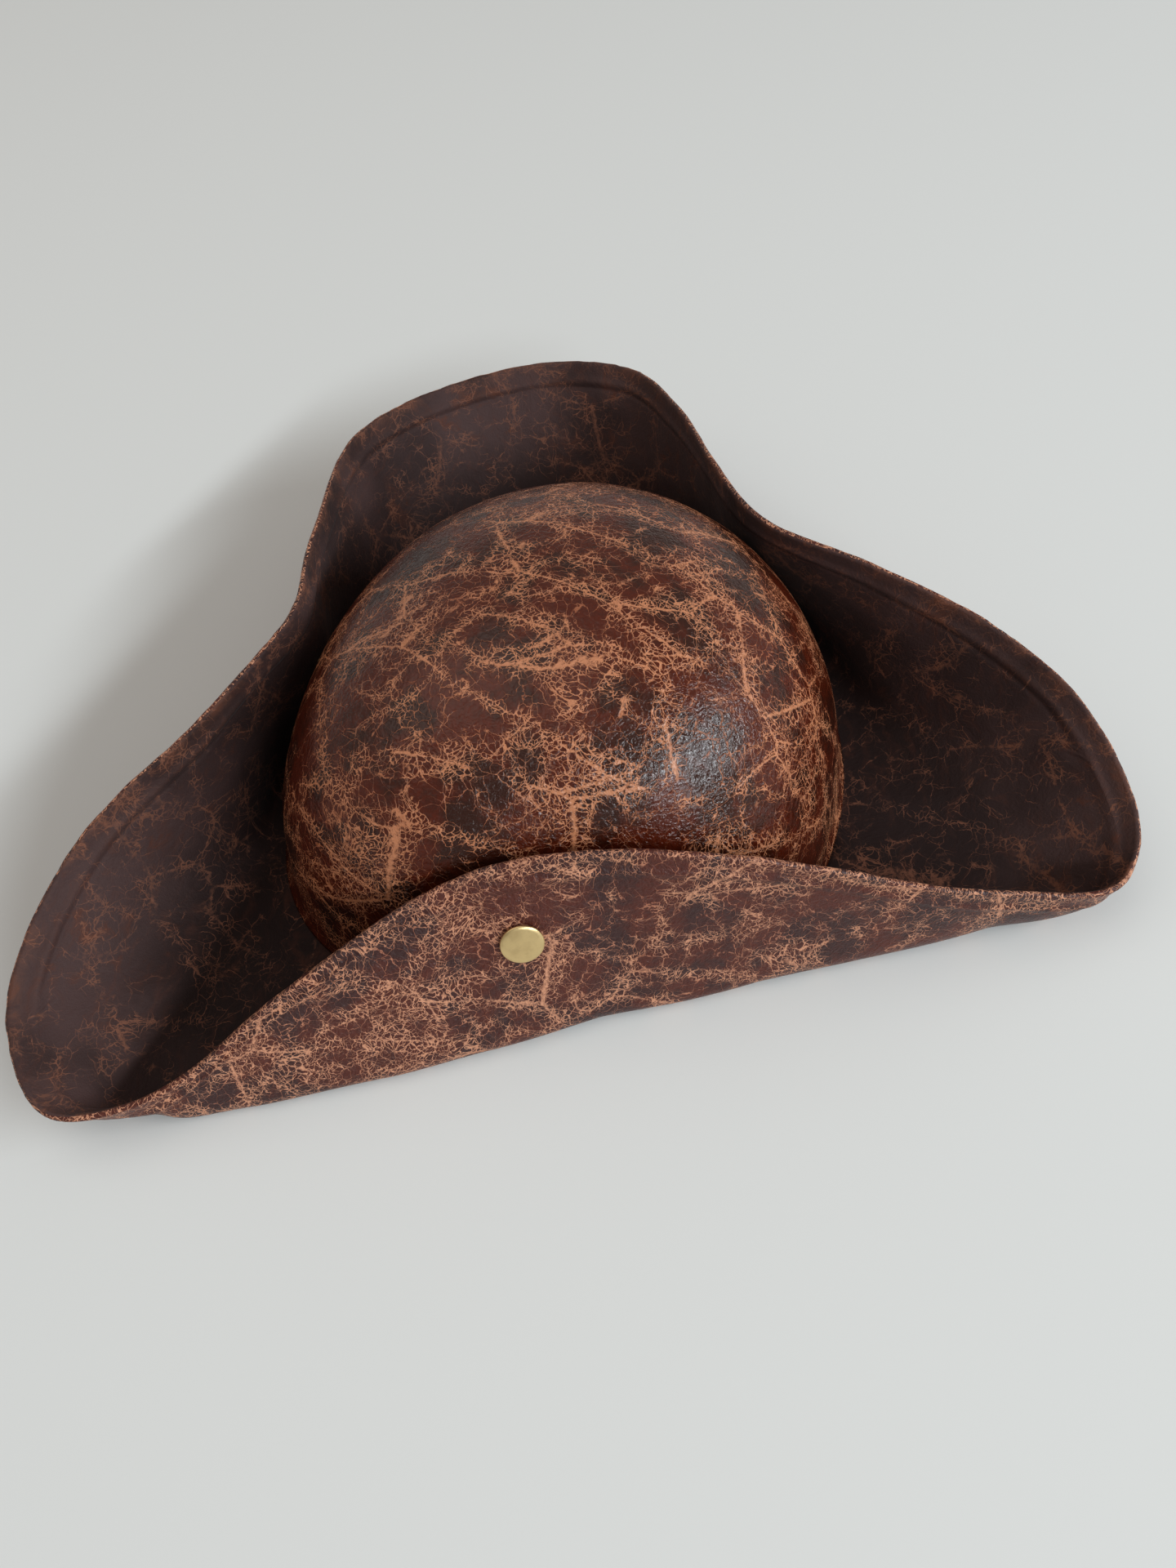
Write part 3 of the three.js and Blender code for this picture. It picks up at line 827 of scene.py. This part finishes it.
@dataclass(frozen=True)
class CrackledLeather:
    """Glossy leather, red-brown and charcoal under its tan network.

    wear names the stored number that adds to the crazing, and grain is the depth of the
    pebbled surface in metres.
    """

    name: str
    wear: str
    gloss: Gloss = Gloss.SATIN
    ground: Colour = (0.100, 0.0158, 0.0046)
    shadow: Colour = (0.041, 0.0105, 0.0050)
    vein: Colour = (0.60, 0.260, 0.135)
    rust: Colour = (0.34, 0.110, 0.048)
    crazing: Crazing = Crazing(cover=0.22, soften=1.0, pulls=1.0, finer=1.4)
    grain: float = 0.00027
    shine: float = 0.64
    sheen: float = 0.0

    def material(self) -> bpy.types.Material:
        """Build the material from the network, a mottled ground and a wrinkled, pebbled surface.

        Returns:
            The finished material.
        """
        shop = ShaderShop(self.name)
        place = shop.place
        # the stored number is wear; on the brim's outer face it also holds painted sheen at the left
        network, density = self.crazing.network(shop, shop.stored(self.wear) * 0.55)
        cloud = shop.noise(shop.warped(place, 40.0, 0.008, 2.0), 52.0, 4.0, 0.62)
        speck = shop.noise(place, 700.0, 2.0, 0.6)
        ground = shop.mix(cloud.rising(0.44, 0.60), self.ground, self.shadow)
        ground = shop.mix(speck.rising(0.35, 0.75) * 0.35, ground, self.shadow)
        worn = shop.mix(density.rising(0.20, 0.95), self.rust, self.vein)
        curled = shop.warped(place, 420.0, 0.0016, 2.0)
        wrinkle = shop.cells(curled, 820.0, "F1")
        crease = shop.noise(curled, 1150.0, 3.0, 0.62)
        fold = shop.noise(shop.drawn(curled, 60.0, 2.0), 260.0, 2.0)
        height = wrinkle * 0.55 + crease * 0.7 + fold * 0.8 - network * 0.25
        return shop.surface({
            "Base Color": shop.mix(network * 0.92, ground, worn),
            "Roughness": self.gloss.value + network * 0.10 + (crease - 0.5) * 0.20,
            "Normal": shop.bump(height, self.grain, 0.9),
            "Specular IOR Level": self.shine,
            "Sheen Weight": self.sheen,
            "Sheen Roughness": 0.45})


@dataclass(frozen=True)
class SoftLeather:
    """Dark, matt leather with faint tan cracks, scuffs and a nap.

    edge and depth name the stored numbers for the way to a worn rim and for painted shade that
    darkens the face towards the fold.
    """

    name: str
    ground: Colour = (0.079, 0.0450, 0.0420)
    shadow: Colour = (0.0275, 0.0142, 0.0130)
    blotch: Colour = (0.115, 0.041, 0.025)
    vein: Colour = (0.245, 0.105, 0.064)
    crazing: Crazing = Crazing(cover=0.02, soften=1.3, pulls=1.0, finer=1.1)
    gloss: Gloss = Gloss.MATT
    edge: str = ""
    # depth names the stored painted shade towards the fold
    depth: str = ""

    def material(self) -> bpy.types.Material:
        """Build the material from soft patches, rusty scuffs, a thin network and a fine nap.

        Returns:
            The finished material.
        """
        shop = ShaderShop(self.name)
        place = shop.place
        rim = shop.stored(self.edge) if self.edge else None
        network, _ = self.crazing.network(shop, rim * 0.12 if rim else 0.0)
        bent = shop.warped(place, 60.0, 0.007, 2.0)
        scuff = shop.noise(shop.warped(bent, 420.0, 0.0013, 3.0), 95.0, 4.0, 0.72)
        patch = shop.noise(bent, 30.0, 2.0)
        blot = ((patch - 0.5) * 1.2 + (scuff - 0.5) * 2.4).rising(0.10, 0.60)
        dark = shop.noise(bent, 22.0, 2.0).rising(0.40, 0.62)
        # painted shade: darker towards the fold, broken up by the scuffs
        if self.depth:
            fold_shade = shop.stored(self.depth) + (scuff - 0.5) * 0.3
            dark = (dark * 0.7).most(fold_shade.rising(0.20, 0.74))
        # dark holds random dark patches and the painted fold shade; both pull the ground to the shadow colour
        # and hide blotches
        ground = shop.mix(dark, self.ground, self.shadow)
        colour = shop.mix(blot * (0.80 - dark * 0.45), ground, self.blotch)
        streak = shop.noise(shop.drawn(bent, 75.0, 6.0), 260.0, 3.0, 0.6)
        colour = shop.mix(streak.rising(0.50, 0.80) * 0.30, colour, self.blotch)
        if rim:
            colour = shop.mix(rim * scuff.rising(0.38, 0.62) * 0.26, colour, self.vein)
        nap = shop.noise(place, 1500.0, 2.0, 0.7)
        crease = shop.noise(bent, 320.0, 4.0, 0.62)
        return shop.surface({
            "Base Color": shop.mix(network * scuff.rising(0.34, 0.58) * 0.70, colour, self.vein),
            "Roughness": self.gloss.value + (nap - 0.5) * 0.2,
            "Normal": shop.bump(nap * 0.45 + crease, 0.00050, 0.7),
            "Specular IOR Level": 0.22,
            "Sheen Weight": 0.06,
            "Sheen Roughness": 0.5})


@dataclass(frozen=True)
class AgedBrass:
    """Pale antique brass with faint brushing and darker specks."""

    name: str
    bright: Colour = (0.78, 0.60, 0.32)
    dull: Colour = (0.68, 0.51, 0.27)

    def material(self) -> bpy.types.Material:
        """Build the material: metal whose colour and polish vary softly.

        Returns:
            The finished material.
        """
        shop = ShaderShop(self.name)
        cloud = shop.noise(shop.place, 220.0, 4.0, 0.6)
        scratch = shop.noise(shop.place, 1500.0, 3.0, 0.7)
        return shop.surface({
            "Base Color": shop.mix(cloud.rising(0.35, 0.70), self.bright, self.dull),
            "Roughness": 0.38 + (scratch - 0.5) * 0.25 + (cloud - 0.5) * 0.15,
            "Normal": shop.bump(scratch, 0.00005, 0.3),
            "Metallic": 1.0})


# --- pieces
@dataclass
class Crown:
    """The moulded dome. Its dents, and the patch that is rubbed smooth, are in millimetres.

    foot_crowding draws the rows together at the foot, peak lifts the closing point, and
    rubbed_loss is the crazing that the rubbed patch loses.
    """

    shape: LeatherShape
    columns: int = 400
    outer_rows: int = 150
    inner_rows: int = 60
    foot_crowding: float = 1.15
    peak: float = 0.02
    broad_dent: float = 0.45
    broad_size: float = 38.0
    small_dent: float = 0.16
    small_size: float = 12.0
    dent_rise: tuple[float, float] = (6.0, 20.0)
    rubbed_at: tuple[float, float, float] = (33.0, -47.0, 71.0)
    rubbed_along: tuple[float, float, float] = (0.918, 0.396, 0.0)
    rubbed_across: tuple[float, float, float] = (-0.292, 0.677, 0.675)
    rubbed_length: float = 30.0
    rubbed_width: float = 7.0
    rubbed_loss: float = 0.45
    skin: CrackledLeather = CrackledLeather("crown_leather", "crown_wear")
    lining: SoftLeather = SoftLeather("crown_inside")

    def relief(self, points: np.ndarray) -> np.ndarray:
        """Return how far the leather stands proud or sinks, in mm: soft dents at two sizes."""
        lift = (self.broad_dent * SoftNoise(11).at(points, self.broad_size)
                + self.small_dent * SoftNoise(12).at(points, self.small_size))
        return lift * smooth_step(points[..., 2], *self.dent_rise)

    def rubbed(self, points: np.ndarray) -> np.ndarray:
        """Work out how rubbed smooth the dome is: a long bell over its right front.

        Args:
            points: Places in millimetres about the crown's axis.

        Returns:
            One value in 0..1 for each place.
        """
        off = points - self.rubbed_at
        along, across = off @ self.rubbed_along, off @ self.rubbed_across
        return np.exp(-(along / self.rubbed_length) ** 2 - (across / self.rubbed_width) ** 2)

    def build(self) -> bpy.types.Object:
        """Build the shell from an outer and an inner face, joined at the foot and closed at the top.

        Returns:
            The crown's object, dressed.
        """
        s = self.shape.sizes
        angle = np.linspace(0.0, 2 * math.pi, self.columns, endpoint=False)[:, None]
        t_out = (np.linspace(0.0, 1.0, self.outer_rows, endpoint=False) ** self.foot_crowding)[None, :]
        outer = self.shape.crown_face(angle, t_out, 0.0)
        outer = outer - surface_normals(outer) * self.relief(outer)[..., None]
        t_in = np.linspace(0.0, 1.0, self.inner_rows, endpoint=False)[None, ::-1]
        inner = self.shape.crown_face(angle, t_in, s.wall)
        rows = self.outer_rows + self.inner_rows
        grid = np.concatenate([outer, inner], axis=1).reshape(-1, 3)
        poles = np.array([[0.0, 0.0, outer[:, -1, 2].mean() + self.peak], [0.0, 0.0, s.top - s.wall]])
        kept = np.arange(rows) != self.outer_rows - 1
        quads = grid_quads(self.columns, rows, True, True).reshape(self.columns, rows, 4)[:, kept]
        ring = np.arange(self.columns) * rows + self.outer_rows - 1
        caps = [fan(ring, len(grid)), fan(ring + 1, len(grid) + 1, flipped=True)]
        inside = np.arange(rows) >= self.outer_rows
        slots = np.concatenate([np.tile(inside[kept], self.columns), np.repeat([False, True], self.columns)])
        piece = mesh_object(
            "crown_leather_shell", self.shape.placed(np.concatenate([grid, poles])),
            np.concatenate([quads.reshape(-1, 4), *caps]), slots)
        store(piece, "crown_wear", np.concatenate([-self.rubbed_loss * self.rubbed(grid), [0.0, 0.0]]))
        piece.data.materials.append(self.skin.material())
        piece.data.materials.append(self.lining.material())
        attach(piece, "root")
        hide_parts("crown")
        return piece


@dataclass
class Brim:
    """The brim, one sheet with a cord inside its edge. Sizes are in millimetres.

    The groove runs beside the cord, bow and ripple bend the sheet, and the rise of each is the
    pair of heights between which it fades in. The wear is that of the rim and of the cord's
    line. Round the direction left_towards the outer face has more crazing, partly real and
    partly painted sheen. The upper face has painted shade, darker from the rim to the fold.
    """

    shape: LeatherShape
    seats: Sequence["RivetSeat"]
    columns: int = 460
    flat: int = 8
    bend: int = 28
    wall: int = 66
    cord_lift: float = 1.2
    groove_beyond: float = 2.4
    groove_width: float = 0.7
    groove_upper: float = 0.36
    groove_lower: float = 0.12
    uneven_size: float = 16.0
    uneven_cord: float = 0.35
    uneven_sheet: float = 0.06
    uneven_rise: tuple[float, float] = (4.0, 12.0)
    bow: float = 0.8
    bow_size: float = 34.0
    ripple: float = 0.3
    ripple_size: float = 13.0
    bow_rise: tuple[float, float] = (5.0, 22.0)
    still_round: float = 20.0
    edge_wave: float = 0.22
    edge_wave_size: float = 4.0
    edge_nick: float = 0.12
    edge_nick_size: float = 1.6
    rim_wear: float = 2.6
    cord_wear: float = 0.35
    cord_wear_width: float = 1.4
    # more crazing on the outer face's left: partly real, partly painted sheen
    left_wear_and_sheen: float = 0.60
    left_towards: float = 232.0
    left_spread: float = 15.0
    # the run from the rim over which the upper face's painted shade grows to its darkest
    fold_shade_run: float = 70.0
    under: CrackledLeather = CrackledLeather(
        "brim_outer_leather", "rim_wear", Gloss.DULL,
        ground=(0.110, 0.029, 0.019), shadow=(0.058, 0.024, 0.022),
        vein=(0.66, 0.325, 0.200), rust=(0.38, 0.145, 0.086),
        crazing=Crazing(cover=0.22, soften=1.1, pulls=0.8, finer=1.5),
        grain=0.00040, shine=0.40, sheen=0.03)
    upper: SoftLeather = SoftLeather("brim_inner_leather", edge="rim_wear", depth="painted_fold_shade")

    def thickness(self, grid: np.ndarray, inset: np.ndarray, sewn: float) -> np.ndarray:
        """Work out one face's half thickness.

        It is even, with a bell over the cord and a bell-shaped groove beside it, both uneven
        by hand.

        Args:
            grid: The middle surface's places.
            inset: Their distances from the rim, along the sheet.
            sewn: The groove's depth.

        Returns:
            The distance from the middle surface to the face, for each place.
        """
        s = self.shape.sizes
        cord = bell(inset - s.ridge_inset, s.ridge_width)
        groove = bell(inset - s.ridge_inset - self.groove_beyond, self.groove_width)
        uneven = SoftNoise(21).at(grid, self.uneven_size)
        swell = (s.ridge * self.cord_lift * cord - sewn * groove) * (1.0 + self.uneven_cord * uneven)
        return s.thick / 2 + swell + self.uneven_sheet * uneven * smooth_step(grid[..., 2], *self.uneven_rise)

    def sag(self, grid: np.ndarray) -> np.ndarray:
        """Work out how far the sheet bows off its smooth form: noise at two sizes.

        The bow grows with height and dies away at the rivets.

        Args:
            grid: The middle surface's places.

        Returns:
            The distance along the normal at each place, in millimetres.
        """
        bow = (self.bow * SoftNoise(22).at(grid, self.bow_size)
               + self.ripple * SoftNoise(23).at(grid, self.ripple_size))
        bow = bow * smooth_step(grid[..., 2], *self.bow_rise)
        for seat in self.seats:
            off = np.linalg.norm(grid - seat.centre, axis=-1)
            bow = bow * smooth_step(off, self.shape.sizes.rivet_cap, self.still_round)
        return bow

    def rounded_edge(self, middle: np.ndarray, normal: np.ndarray, half: np.ndarray) -> np.ndarray:
        """Work out the half round between the faces at the rim, waved and nicked by noise.

        Args:
            middle: The middle surface's places.
            normal: Its normals.
            half: The upper face's half thickness.

        Returns:
            Array of columns by five places.
        """
        end, up = middle[:, -1], normal[:, -1]
        out = middle[:, -1] - middle[:, -3]
        out /= np.linalg.norm(out, axis=-1, keepdims=True)
        uneven = (self.edge_wave * SoftNoise(24).at(end, self.edge_wave_size)
                  + self.edge_nick * SoftNoise(25).at(end, self.edge_nick_size))
        end = end + out * uneven[:, None]
        turns = np.radians([-60.0, -30.0, 0.0, 30.0, 60.0])
        return np.stack([end + half[:, -1] * (out * math.cos(a) + up * math.sin(a)) for a in turns], axis=1)

    def build(self) -> bpy.types.Object:
        """Thicken the middle surface both ways, round its edge and dress each face.

        Returns:
            The brim's object, dressed.
        """
        s = self.shape.sizes
        middle = self.shape.brim_middle(self.columns, self.flat, self.bend, self.wall)
        normal = surface_normals(middle)
        normal[np.abs(middle[..., 2] - s.thick / 2) < 1e-6] = (0.0, 0.0, 1.0)
        middle = middle + normal * self.sag(middle)[..., None]
        steps = np.linalg.norm(np.diff(middle, axis=1), axis=-1)
        run = np.concatenate([np.zeros((self.columns, 1)), np.cumsum(steps, axis=1)], axis=1)
        inset = run[:, -1:] - run
        half = self.thickness(middle, inset, self.groove_upper)[..., None]
        below = self.thickness(middle, inset, self.groove_lower)[..., None]
        upper, lower = middle + normal * half, middle - normal * below
        edge = self.rounded_edge(middle, normal, half)
        grid = np.concatenate([lower, edge, upper[:, ::-1]], axis=1)
        rows = grid.shape[1]
        slots = np.tile(np.arange(rows) >= lower.shape[1] + 3, self.columns)
        piece = mesh_object(
            "brim_leather_sheet", self.shape.placed(grid.reshape(-1, 3)),
            grid_quads(self.columns, rows, True, True), slots)
        over_cord = bell(inset - s.ridge_inset, self.cord_wear_width)
        worn = bell(inset, self.rim_wear) + self.cord_wear * over_cord
        # the outer face's left gets more crazing, partly real and partly painted sheen
        towards = np.degrees(np.arctan2(middle[..., 1], middle[..., 0]))
        left = bell(degrees_apart(towards, self.left_towards), self.left_spread)
        # painted shade on the upper face: darker from the rim towards the fold
        fold_shade = np.clip(inset / self.fold_shade_run, 0.0, 1.0)
        band = np.ones(edge.shape[:2])
        # rim and cord wear, and on the outer face's left also painted sheen
        store(piece, "rim_wear", np.concatenate([worn + self.left_wear_and_sheen * left, band, worn[:, ::-1]], axis=1))
        # painted shade towards the fold, for the upper face only
        store(piece, "painted_fold_shade", np.concatenate([fold_shade, 0.0 * band, fold_shade[:, ::-1]], axis=1))
        piece.data.materials.append(self.under.material())
        piece.data.materials.append(self.upper.material())
        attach(piece, "root")
        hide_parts("brim")
        return piece


@dataclass(frozen=True)
class RivetSeat:
    """Where a rivet sits on its flap.

    out is the way out, stand the sheet's highest place under the cap, and depth how far in
    the head lies.
    """

    name: str
    centre: np.ndarray
    out: np.ndarray
    stand: float
    depth: float

    @classmethod
    def find(cls, shape: LeatherShape, flap: Flap) -> "RivetSeat":
        """Find the seat on the brim's middle surface and the depth at which the head is inside the crown.

        Args:
            shape: The hat's surfaces.
            flap: The flap that the rivet goes through.

        Returns:
            The rivet's seat.
        """
        s = shape.sizes
        window, spokes, deepest = 14.0, 12, 60.0
        middle = shape.brim_middle(columns=3000, flat=4, bend=20, wall=160)
        angle = np.degrees(np.arctan2(middle[:, -1, 1], middle[:, -1, 0]))
        near = np.flatnonzero(np.abs(degrees_apart(angle, flap.rivet_at)) < window)
        near = near[np.argsort(degrees_apart(angle[near], flap.rivet_at))]
        patch = middle[near]
        turned = np.radians(degrees_apart(angle[near], flap.rivet_at))[:, None]
        aside = turned * np.hypot(patch[..., 0], patch[..., 1])
        miss = np.hypot(aside, patch[..., 2] - flap.rivet_up * s.flap)
        at = np.unravel_index(miss.argmin(), miss.shape)
        centre = patch[at]
        out = -surface_normals(patch, close_rows=False)[at]
        off = patch - centre
        rise = off @ out
        flat = np.linalg.norm(off - rise[..., None] * out, axis=-1)
        stand = float(rise[flat < s.rivet_cap + 2 * s.gap].max())
        side, up = ways_across(out)
        turn = np.linspace(0.0, 2 * math.pi, spokes, endpoint=False)[:, None]
        ring = centre + (s.rivet_head + s.gap) * (np.cos(turn) * side + np.sin(turn) * up)
        depths = np.arange(0.0, deepest, s.gap / 3)
        sunk = ring[None] - depths[:, None, None] * out
        wall = shape.crown_radius(np.arctan2(sunk[..., 1], sunk[..., 0]), sunk[..., 2], s.wall)
        inside = (np.hypot(sunk[..., 0], sunk[..., 1]) < wall - 2 * s.gap).all(axis=1)
        return cls(f"rivet_{flap.name}", centre, out, stand, float(depths[inside.argmax()]))


@dataclass
class Rivet:
    """One brass rivet: a thin domed cap with a rolled edge, a shank and a flat head inside the crown."""

    shape: LeatherShape
    seat: RivetSeat
    brass: bpy.types.Material
    around: int = 72
    roll_end: float = 78.0
    dome_share: float = 0.90
    head_bevel: float = 0.4
    head_ease: float = 0.1

    def profile(self) -> np.ndarray:
        """Work out the turned profile: a flat head, a shank, an arc for the edge and a parabola.

        Returns:
            Rows of distance from the axis and height along it, from the head to the top.
        """
        s = self.shape.sizes
        low, face = -self.seat.depth, s.thick / 2 + s.gap + s.rivet_seat + self.seat.stand
        half = s.rivet_cheek / 2
        roll = np.radians(np.linspace(-90.0, self.roll_end, 10))[:, None]
        edge = np.concatenate(
            [s.rivet_cap - half + half * np.cos(roll), face + half * (1 + np.sin(roll))], axis=1)
        share = np.linspace(self.dome_share, 0.0, 14)[:, None]
        rise = face + s.rivet_cheek + s.rivet_dome * (1 - share ** 2)
        dome = np.concatenate([s.rivet_cap * share, rise], axis=1)
        head, wide = s.rivet_head_thick, s.rivet_head
        inner = np.array([
            [0.0, low - head], [wide - self.head_bevel, low - head], [wide, low - head / 2],
            [wide - self.head_ease, low], [s.rivet_shank, low], [s.rivet_shank, face]])
        return np.concatenate([inner, edge, dome])

    def build(self) -> bpy.types.Object:
        """Turn the profile round the seat's axis.

        Returns:
            The rivet's object, dressed.
        """
        profile = self.profile()
        turn = np.linspace(0.0, 2 * math.pi, self.around, endpoint=False)[:, None, None]
        out = self.seat.out
        side, up = ways_across(out)
        r, h = profile[None, 1:-1, 0:1], profile[None, 1:-1, 1:2]
        body = (self.seat.centre + r * (np.cos(turn) * side + np.sin(turn) * up) + h * out).reshape(-1, 3)
        poles = self.seat.centre + profile[[0, -1], 1][:, None] * out
        rows = len(profile) - 2
        ring = np.arange(self.around) * rows
        faces = np.concatenate([
            grid_quads(self.around, rows, True, False),
            fan(ring, len(body), flipped=True), fan(ring + rows - 1, len(body) + 1)])
        points = self.shape.placed(np.concatenate([body, poles]))
        piece = mesh_object(f"{self.seat.name}_brass", points, faces)
        piece.data.materials.append(self.brass)
        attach(piece, "root")
        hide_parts(self.seat.name)
        return piece


# --- stage
@dataclass(frozen=True)
class Lamp:
    """One area lamp: its place and its width and height in metres, and its power in watts."""

    name: str
    place: tuple[float, float, float]
    size: tuple[float, float]
    power: float
    colour: Colour

    def hang(self, aim: Sequence[float]) -> None:
        """Hang the lamp.

        Args:
            aim: The place that it faces, in metres.
        """
        data = bpy.data.lights.new(self.name, "AREA")
        data.shape = "RECTANGLE"
        data.size, data.size_y = self.size
        data.energy, data.color = self.power, self.colour
        lamp = bpy.data.objects.new(self.name, data)
        lamp.location = self.place
        lamp.rotation_euler = (Vector(aim) - Vector(self.place)).to_track_quat("-Z", "Y").to_euler()
        bpy.context.collection.objects.link(lamp)


@dataclass
class Stage:
    """Pale floor, soft light and the camera, whose target and distance are in millimetres."""

    target: Sequence[float] = (7.5, -72.0, 45.0)
    azimuth: float = -8.2
    elevation: float = 54.5
    roll: float = -5.2
    distance: float = 345.0
    lens: float = 27.0
    sensor: float = 36.0
    nearest: float = 0.01
    floor_half: float = 4000.0
    floor_z: float = -0.05
    paint: Colour = (0.760, 0.762, 0.748)
    room: Colour = (1.0, 0.965, 0.92)
    room_light: float = 0.28
    aim: Sequence[float] = (0.0, 0.0, 0.04)
    lamps: tuple[Lamp, ...] = (
        Lamp("window", (1.76, -1.68, 1.58), (4.2, 0.22), 73.0, (0.87, 0.95, 1.0)),
        Lamp("ceiling", (-0.7, 0.3, 1.9), (2.2, 2.2), 8.4, (1.0, 0.95, 0.90)),
    )

    def camera(self) -> None:
        """Place the camera by the direction it looks from, its roll and its distance."""
        a, e, r = (math.radians(v) for v in (self.azimuth, self.elevation, self.roll))
        back = Vector((math.sin(a) * math.cos(e), -math.cos(a) * math.cos(e), math.sin(e)))
        right = (-back).cross(Vector((0, 0, 1))).normalized()
        up = right.cross(-back)
        side = math.cos(r) * right + math.sin(r) * up
        top = -math.sin(r) * right + math.cos(r) * up
        place = Vector(self.target) * MM + back * self.distance * MM
        data = bpy.data.cameras.new("view")
        data.sensor_fit = "AUTO"
        data.sensor_width = self.sensor
        data.lens = self.lens
        data.clip_start = self.nearest
        camera = bpy.data.objects.new("view", data)
        rows = Matrix((side, top, back)).transposed().to_4x4()
        camera.matrix_world = Matrix.Translation(place) @ rows
        bpy.context.collection.objects.link(camera)
        bpy.context.scene.camera = camera

    def floor(self) -> None:
        """Lay a wide pale floor."""
        signs = np.array([[-1.0, -1.0], [1.0, -1.0], [1.0, 1.0], [-1.0, 1.0]])
        corners = np.concatenate([self.floor_half * signs, np.full((4, 1), self.floor_z)], axis=1)
        piece = mesh_object("floor", corners, np.array([[0, 1, 2, 3]]))
        piece.data.materials.append(ShaderShop("floor_paint").surface(
            {"Base Color": self.paint, "Roughness": 0.95, "Specular IOR Level": 0.1}))

    def build(self) -> None:
        """Set up the world, lamps, floor and camera."""
        world = bpy.data.worlds.new("soft_room")
        world.use_nodes = True
        background = world.node_tree.nodes["Background"]
        background.inputs[0].default_value = (*self.room, 1.0)
        background.inputs[1].default_value = self.room_light
        scene = bpy.context.scene
        scene.world = world
        scene.view_settings.view_transform = "Standard"
        scene.view_settings.look = "Medium High Contrast"
        self.floor()
        for lamp in self.lamps:
            lamp.hang(self.aim)
        self.camera()


def main() -> None:
    """Build the hat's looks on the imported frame."""
    logging.basicConfig(level=logging.INFO, format="%(name)s: %(message)s")
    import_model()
    shape = LeatherShape()
    seats = [RivetSeat.find(shape, flap) for flap in shape.sizes.flaps]
    brass = AgedBrass("rivet_brass").material()
    for maker in (Crown(shape), Brim(shape, seats), *(Rivet(shape, seat, brass) for seat in seats)):
        piece = maker.build()
        LOG.info("%s: %d faces", piece.name, len(piece.data.polygons))
    Stage().build()


if __name__ == "__main__":
    main()
